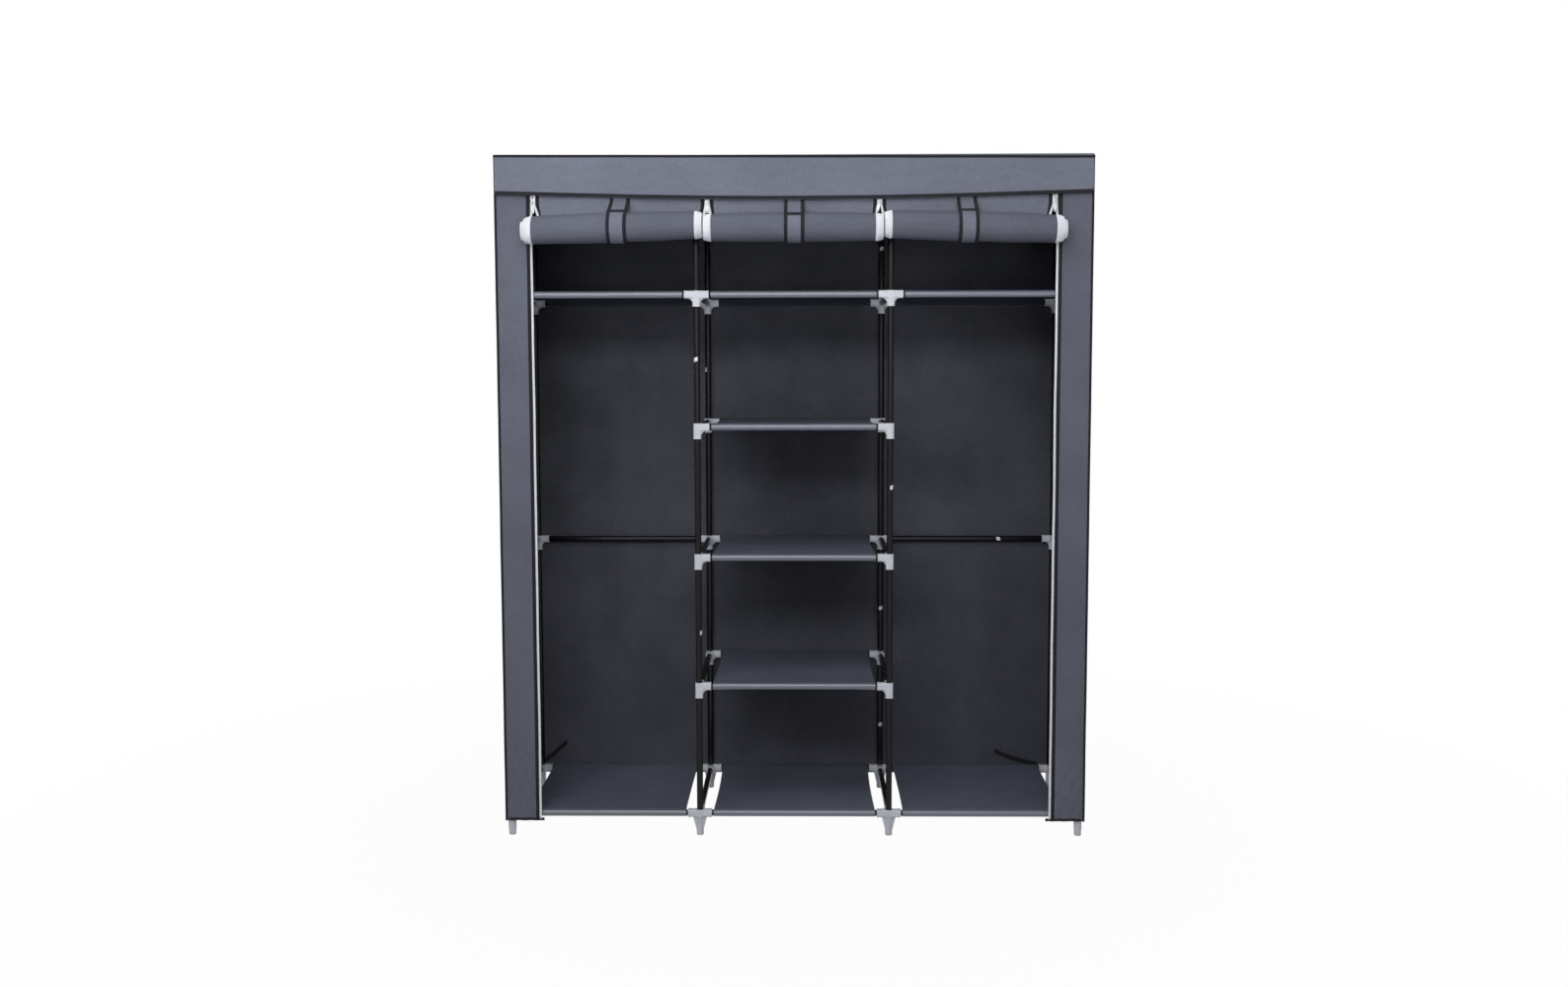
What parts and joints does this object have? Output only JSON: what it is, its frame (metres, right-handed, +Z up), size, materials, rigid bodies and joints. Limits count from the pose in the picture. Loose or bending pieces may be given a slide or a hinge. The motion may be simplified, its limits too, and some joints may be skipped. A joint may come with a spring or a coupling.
{
  "type": "portable fabric wardrobe",
  "caption": "Free-standing wardrobe of plug-together steel tubes under a fabric cover, with open shelves between two tall bays and roll-up zipped doors tied under the roof.",
  "frame": {"origin": "on the floor, in the middle of the footprint with the doors rolled up", "axes": "+Z up, the doors face -Y, +X to the right as seen from the front"},
  "size_m": [1.5002, 0.5271, 1.7447],
  "materials": {
    "black_tube": "gloss",
    "grey_cloth": "matte",
    "zip_metal": "satin"
  },
  "bodies": {
    "frame": {"side_frame_left": "black_tube", "side_frame_centre_left": "black_tube", "side_frame_centre_right": "black_tube", "side_frame_right": "black_tube", "rail_base_left_front": "black_tube", "rail_base_left_back": "black_tube", "rail_base_centre_front": "black_tube", "rail_base_centre_back": "black_tube", "rail_base_right_front": "black_tube", "rail_base_right_back": "black_tube", "rail_low_centre_front": "black_tube", "rail_low_centre_back": "black_tube", "rail_middle_left_back": "black_tube", "rail_middle_centre_front": "black_tube", "rail_middle_centre_back": "black_tube", "rail_middle_right_back": "black_tube", "rail_high_centre_front": "black_tube", "rail_high_centre_back": "black_tube", "rail_upper_left_front": "black_tube", "rail_upper_left_back": "black_tube", "rail_upper_centre_front": "black_tube", "rail_upper_centre_back": "black_tube", "rail_upper_right_front": "black_tube", "rail_upper_right_back": "black_tube", "rail_top_left_front": "black_tube", "rail_top_left_back": "black_tube", "rail_top_centre_front": "black_tube", "rail_top_centre_back": "black_tube", "rail_top_right_front": "black_tube", "rail_top_right_back": "black_tube", "shelf_base_left": "grey_cloth", "shelf_base_centre": "grey_cloth", "shelf_base_right": "grey_cloth", "shelf_upper_left": "grey_cloth", "shelf_upper_centre": "grey_cloth", "shelf_upper_right": "grey_cloth", "shelf_low_centre": "grey_cloth", "shelf_middle_centre": "grey_cloth", "shelf_high_centre": "grey_cloth", "cover_left": "grey_cloth", "cover_right": "grey_cloth", "cover_back": "grey_cloth", "cover_roof": "grey_cloth", "door_flap_left": "grey_cloth", "door_flap_centre": "grey_cloth", "door_flap_right": "grey_cloth", "door_strap_left": "grey_cloth", "door_strap_centre": "grey_cloth", "door_strap_right": "grey_cloth"},
    "door_left": {"door_roll_left": "grey_cloth"},
    "door_centre": {"door_roll_centre": "grey_cloth"},
    "door_right": {"door_roll_right": "grey_cloth"},
    "head_left": {"zip_head_left": "zip_metal"},
    "head_centre_left": {"zip_head_centre_left": "zip_metal"},
    "head_centre_right": {"zip_head_centre_right": "zip_metal"},
    "head_right": {"zip_head_right": "zip_metal"},
    "pull_left": {"zip_pull_left": "zip_metal"},
    "pull_centre_left": {"zip_pull_centre_left": "zip_metal"},
    "pull_centre_right": {"zip_pull_centre_right": "zip_metal"},
    "pull_right": {"zip_pull_right": "zip_metal"}
  },
  "joints": [
    {"name": "door_left_unroll", "type": "slide", "parent": "frame", "child": "door_left", "axis": [0, 0, -1], "range_m": [0, 1.47], "deforming": ["door_flap_left", "door_strap_left"]},
    {"name": "door_centre_unroll", "type": "slide", "parent": "frame", "child": "door_centre", "axis": [0, 0, -1], "range_m": [0, 1.47], "deforming": ["door_flap_centre", "door_strap_centre"]},
    {"name": "door_right_unroll", "type": "slide", "parent": "frame", "child": "door_right", "axis": [0, 0, -1], "range_m": [0, 1.47], "deforming": ["door_flap_right", "door_strap_right"]},
    {"name": "zip_left_slide", "type": "slide", "parent": "frame", "child": "head_left", "axis": [0, 0, -1], "range_m": [0, 1.47]},
    {"name": "zip_centre_left_slide", "type": "slide", "parent": "frame", "child": "head_centre_left", "axis": [0, 0, -1], "range_m": [0, 1.47]},
    {"name": "zip_centre_right_slide", "type": "slide", "parent": "frame", "child": "head_centre_right", "axis": [0, 0, -1], "range_m": [0, 1.47]},
    {"name": "zip_right_slide", "type": "slide", "parent": "frame", "child": "head_right", "axis": [0, 0, -1], "range_m": [0, 1.47]},
    {"name": "pull_left_swing", "type": "hinge", "parent": "head_left", "child": "pull_left", "pos_m": [-0.654, -0.1909, 1.6261], "axis": [-1, 0, 0], "range_deg": [0, 120]},
    {"name": "pull_centre_left_swing", "type": "hinge", "parent": "head_centre_left", "child": "pull_centre_left", "pos_m": [-0.216, -0.1909, 1.6261], "axis": [-1, 0, 0], "range_deg": [0, 120]},
    {"name": "pull_centre_right_swing", "type": "hinge", "parent": "head_centre_right", "child": "pull_centre_right", "pos_m": [0.216, -0.1909, 1.6264], "axis": [-1, 0, 0], "range_deg": [0, 120]},
    {"name": "pull_right_swing", "type": "hinge", "parent": "head_right", "child": "pull_right", "pos_m": [0.654, -0.1909, 1.6261], "axis": [-1, 0, 0], "range_deg": [0, 120]}
  ],
  "couplings": [
    {"joint": "zip_left_slide", "follows": "door_left_unroll", "ratio": 1},
    {"joint": "zip_centre_left_slide", "follows": "door_centre_unroll", "ratio": 1},
    {"joint": "zip_centre_right_slide", "follows": "door_centre_unroll", "ratio": 1},
    {"joint": "zip_right_slide", "follows": "door_right_unroll", "ratio": 1}
  ]
}
